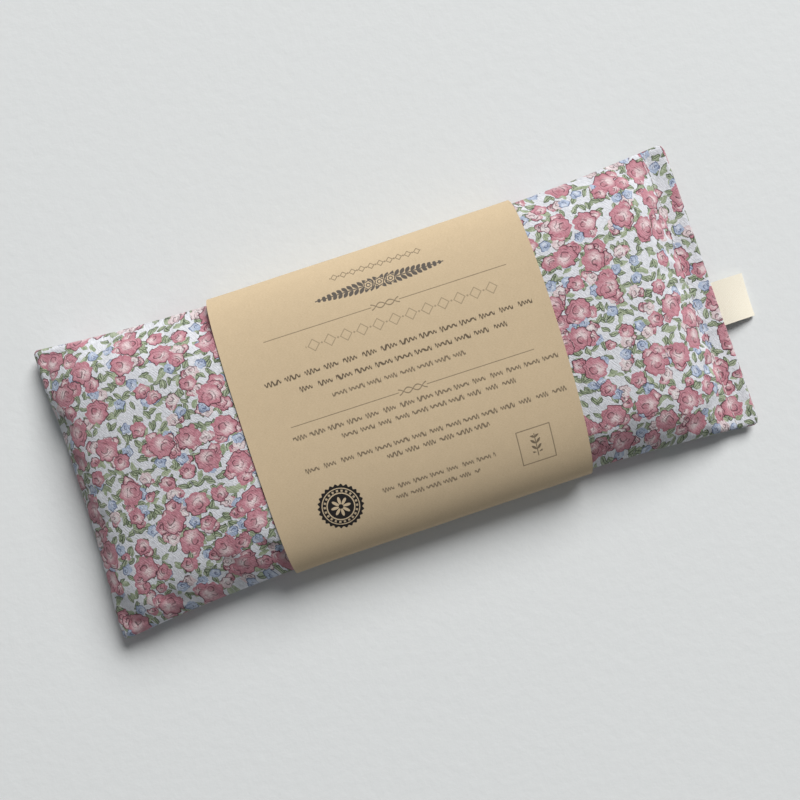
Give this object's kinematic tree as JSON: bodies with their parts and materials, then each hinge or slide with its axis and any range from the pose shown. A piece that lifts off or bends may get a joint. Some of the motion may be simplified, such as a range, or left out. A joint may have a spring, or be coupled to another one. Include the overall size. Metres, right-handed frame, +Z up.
{
  "type": "eye pillow",
  "caption": "Seed-filled eye pillow in a printed cotton cover with a sewn-in side label, wrapped round its middle in a kraft paper belly band.",
  "frame": {"origin": "centre of the underside of the whole object's bounding box, label included", "axes": "+X along the pillow towards the end that carries the label, +Z up from the face it lies on"},
  "size_m": [0.2338, 0.1008, 0.0243],
  "materials": {
    "printed_cotton": "floral print on white twill, matt",
    "sewing_thread": "matt",
    "linseed": "loose seeds, slightly glossy",
    "lavender": "dried flower buds, matt",
    "label_tape": "woven cotton tape, matt",
    "kraft_paper": "matt, printed in dark brown",
    "band_adhesive": "clear double-sided tape"
  },
  "bodies": {
    "pillow": {"cover_top": "printed_cotton", "cover_bottom": "printed_cotton", "seed_filling": "linseed", "lavender_bud_01": "lavender", "lavender_bud_02": "lavender", "lavender_bud_03": "lavender", "lavender_bud_04": "lavender", "lavender_bud_05": "lavender", "lavender_bud_06": "lavender", "lavender_bud_07": "lavender", "lavender_bud_08": "lavender", "lavender_bud_09": "lavender", "lavender_bud_10": "lavender", "lavender_bud_11": "lavender", "lavender_bud_12": "lavender", "lavender_bud_13": "lavender", "lavender_bud_14": "lavender", "lavender_bud_15": "lavender", "lavender_bud_16": "lavender", "lavender_bud_17": "lavender", "lavender_bud_18": "lavender", "lavender_bud_19": "lavender", "lavender_bud_20": "lavender", "lavender_bud_21": "lavender", "lavender_bud_22": "lavender", "lavender_bud_23": "lavender", "lavender_bud_24": "lavender", "seam_thread": "sewing_thread", "closing_thread_upper": "sewing_thread", "closing_thread_lower": "sewing_thread", "label_tail_upper": "label_tape", "label_tail_lower": "label_tape"},
    "band": {"belly_band": "kraft_paper", "band_tape": "band_adhesive"},
    "label": {"label_loop": "label_tape"}
  },
  "joints": [
    {"name": "band_slide", "type": "slide", "parent": "pillow", "child": "band", "axis": [1, 0, 0], "range_m": [-0.172, 0.178], "deforming": ["cover_top", "cover_bottom", "seam_thread", "closing_thread_upper", "closing_thread_lower"]},
    {"name": "label_flap", "type": "hinge", "parent": "pillow", "child": "label", "pos_m": [0.10615, -0.0075, 0.005], "axis": [0, -1, 0], "range_deg": [-20, 95]}
  ]
}
